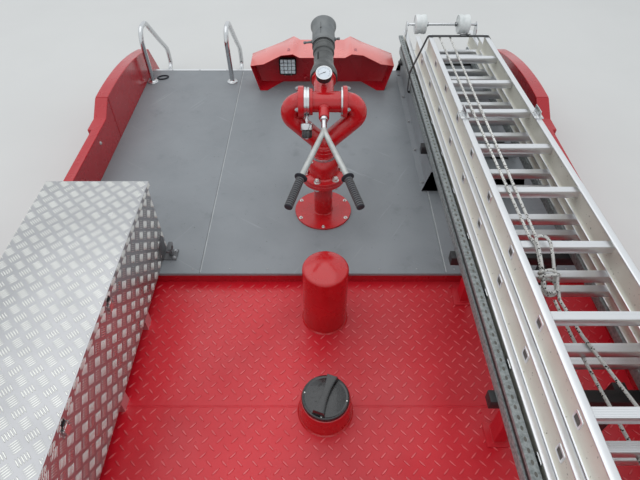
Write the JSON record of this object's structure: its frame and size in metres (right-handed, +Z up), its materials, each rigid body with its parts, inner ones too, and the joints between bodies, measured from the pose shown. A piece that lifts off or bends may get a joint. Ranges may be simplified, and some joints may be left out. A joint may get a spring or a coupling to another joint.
{
  "type": "fire truck roof deck",
  "caption": "walk-on roof deck of a fire truck body with a swivelling water monitor, tread-plate locker, tank fittings, lamp cowl and stowed extension ladders",
  "frame": {"origin": "centre of the four bolt holes under the frame, on the lugs' underside, level with the step in Y", "axes": "+Z up, +Y towards the truck's rear, +X to the truck's side that carries the ladders"},
  "size_m": [2.5, 4.3531, 0.9366],
  "materials": {
    "frame_paint": "matt dark grey chassis paint",
    "tank_red": "wet-look red paint on tear-drop tread plate",
    "deck_grey": "scuffed grey anti-slip coating",
    "body_red": "gloss red body paint",
    "bright_trim": "bright folded aluminium",
    "tread_plate": "five-bar aluminium tread plate",
    "black_metal": "black coated steel",
    "stainless": "brushed stainless steel",
    "monitor_red": "gloss red enamel on cast pipes",
    "nozzle_black": "black hard-anodised aluminium",
    "cap_black": "wet black moulded plastic",
    "grip_rubber": "ribbed black rubber",
    "gauge_white": "white dial in a black case",
    "ladder_aluminium": "extruded aluminium, dull with age",
    "zinc": "galvanised steel",
    "roller_white": "white plastic rollers",
    "strap_black": "black woven strap",
    "rope_white": "white braided rope with black flecks"
  },
  "bodies": {
    "deck": {"deck_frame": "frame_paint", "tank_plate_front": "tank_red", "tank_plate_rear": "tank_red", "step_riser": "body_red", "deck_plate_left": "deck_grey", "deck_plate_middle": "deck_grey", "deck_plate_right": "deck_grey", "rear_trim": "bright_trim", "side_fairing_left": "body_red", "side_fairing_right": "body_red", "rear_fairing_left": "body_red", "rear_fairing_right": "body_red", "lamp_cowl": "body_red", "work_lamp": "black_metal", "grab_rail_left": "stainless", "grab_rail_right": "stainless", "locker_box": "tread_plate", "locker_hinge": "stainless", "locker_feet": "bright_trim", "locker_latches": "black_metal", "locker_clamp": "black_metal", "vent_dome": "monitor_red", "filler_neck": "monitor_red", "monitor_pedestal": "monitor_red", "monitor_base": "monitor_red", "pipe_hood": "deck_grey", "ladder_top": "ladder_aluminium", "ladder_middle": "ladder_aluminium", "ladder_bottom": "ladder_aluminium", "rack_rails": "zinc", "rack_supports": "black_metal", "roller_axle": "zinc", "head_rollers": "roller_white", "guide_brackets": "zinc", "ladder_strap": "strap_black", "halyard_lines": "rope_white", "halyard_hank": "rope_white"},
    "lid": {"locker_lid": "tread_plate", "latch_keepers": "black_metal"},
    "cap": {"filler_cap": "cap_black"},
    "monitor_head": {"branch_pipes": "monitor_red", "swivel_rings": "stainless", "lock_knob": "black_metal"},
    "monitor_barrel": {"cross_pipe": "monitor_red", "nozzle_body": "nozzle_black", "nozzle_sleeve": "nozzle_black", "pressure_gauge": "gauge_white", "aiming_handle": "stainless", "handle_grips": "grip_rubber"}
  },
  "joints": [
    {"name": "monitor_swing", "type": "hinge", "parent": "deck", "child": "monitor_head", "pos_m": [0.005, 0.406, 0.53], "axis": [0, 0, 1], "continuous": true},
    {"name": "monitor_tilt", "type": "hinge", "parent": "monitor_head", "child": "monitor_barrel", "pos_m": [0.005, 0.406, 0.77], "axis": [1, 0, 0], "range_deg": [-28, 47]},
    {"name": "lid_hinge", "type": "hinge", "parent": "deck", "child": "lid", "pos_m": [-1.142, -0.631, 0.512], "axis": [0, -1, 0], "range_deg": [0, 95]},
    {"name": "cap_lift", "type": "slide", "parent": "deck", "child": "cap", "axis": [0, 0, 1], "range_m": [0, 0.12]}
  ]
}
